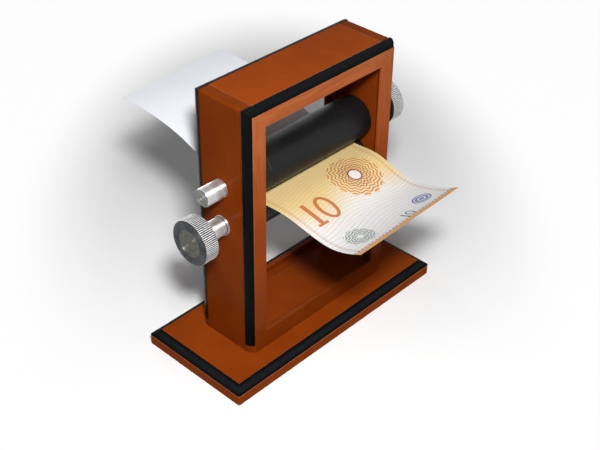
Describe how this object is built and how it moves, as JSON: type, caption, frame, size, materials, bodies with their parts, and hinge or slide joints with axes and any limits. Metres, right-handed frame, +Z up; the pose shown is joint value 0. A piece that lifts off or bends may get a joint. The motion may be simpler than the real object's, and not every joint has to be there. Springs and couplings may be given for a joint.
{
  "type": "paper mangle trick machine",
  "caption": "Hand-turned trick mangle in a painted wooden frame: a blank sheet goes in behind two leathercloth rollers and a play note comes out in front.",
  "frame": {"origin": "middle of the base board's underside", "axes": "+X along the rollers, towards the upper roller's knob; -Y to the front, where the note comes out; +Z up"},
  "size_m": [0.158, 0.1801, 0.1585],
  "materials": {
    "rust_paint": "glossy orange-brown paint on wood, with glossy black bands on its edges",
    "black_leathercloth": "satin black leathercloth",
    "turned_aluminium": "bright turned aluminium with fine tool marks",
    "axle_steel": "drawn steel rod",
    "core_wood": "black stained dowel",
    "bush_brass": "plain turned brass",
    "screw_steel": "zinc plated",
    "printed_paper": "matt printed paper",
    "white_paper": "matt white paper"
  },
  "bodies": {
    "machine_frame": {"base_board": "rust_paint", "left_side_board": "rust_paint", "right_side_board": "rust_paint", "bottom_board": "rust_paint", "top_board": "rust_paint", "front_left_stile": "rust_paint", "front_right_stile": "rust_paint", "front_top_rail": "rust_paint", "front_bottom_rail": "rust_paint", "rear_left_stile": "rust_paint", "rear_right_stile": "rust_paint", "rear_top_rail": "rust_paint", "rear_bottom_rail": "rust_paint", "upper_left_bush": "bush_brass", "upper_right_bush": "bush_brass", "lower_left_bush": "bush_brass", "lower_right_bush": "bush_brass", "base_screws": "screw_steel"},
    "upper_roller": {"upper_axle": "axle_steel", "upper_roller_core": "core_wood", "upper_cloth_winding": "black_leathercloth", "upper_knob_sleeve": "turned_aluminium", "upper_knob": "turned_aluminium", "upper_end_collar": "turned_aluminium"},
    "lower_roller": {"lower_axle": "axle_steel", "lower_roller_core": "core_wood", "lower_cloth_winding": "black_leathercloth", "lower_knob_sleeve": "turned_aluminium", "lower_knob": "turned_aluminium", "lower_end_collar": "turned_aluminium"},
    "printed_note": {"note": "printed_paper"},
    "blank_paper": {"blank_sheet": "white_paper"}
  },
  "joints": [
    {"name": "upper_roller_turn", "type": "hinge", "parent": "machine_frame", "child": "upper_roller", "pos_m": [0, 0, 0.1088], "axis": [-1, 0, 0], "range_deg": [-170, 254]},
    {"name": "lower_roller_turn", "type": "hinge", "parent": "machine_frame", "child": "lower_roller", "pos_m": [0, 0, 0.0861], "axis": [1, 0, 0], "range_deg": [-208, 310.5]},
    {"name": "note_feed", "type": "slide", "parent": "machine_frame", "child": "printed_note", "axis": [0, -1, 0], "range_m": [-0.037, 0.0548], "deforming": ["note"]},
    {"name": "blank_feed", "type": "slide", "parent": "machine_frame", "child": "blank_paper", "axis": [0, -1, 0], "range_m": [-0.037, 0.0548], "deforming": ["blank_sheet"]}
  ],
  "couplings": [
    {"joint": "lower_roller_turn", "follows": "upper_roller_turn", "ratio": 1.2178},
    {"joint": "note_feed", "follows": "upper_roller_turn", "m_per_rad": 0.0123},
    {"joint": "blank_feed", "follows": "upper_roller_turn", "m_per_rad": 0.0123}
  ]
}
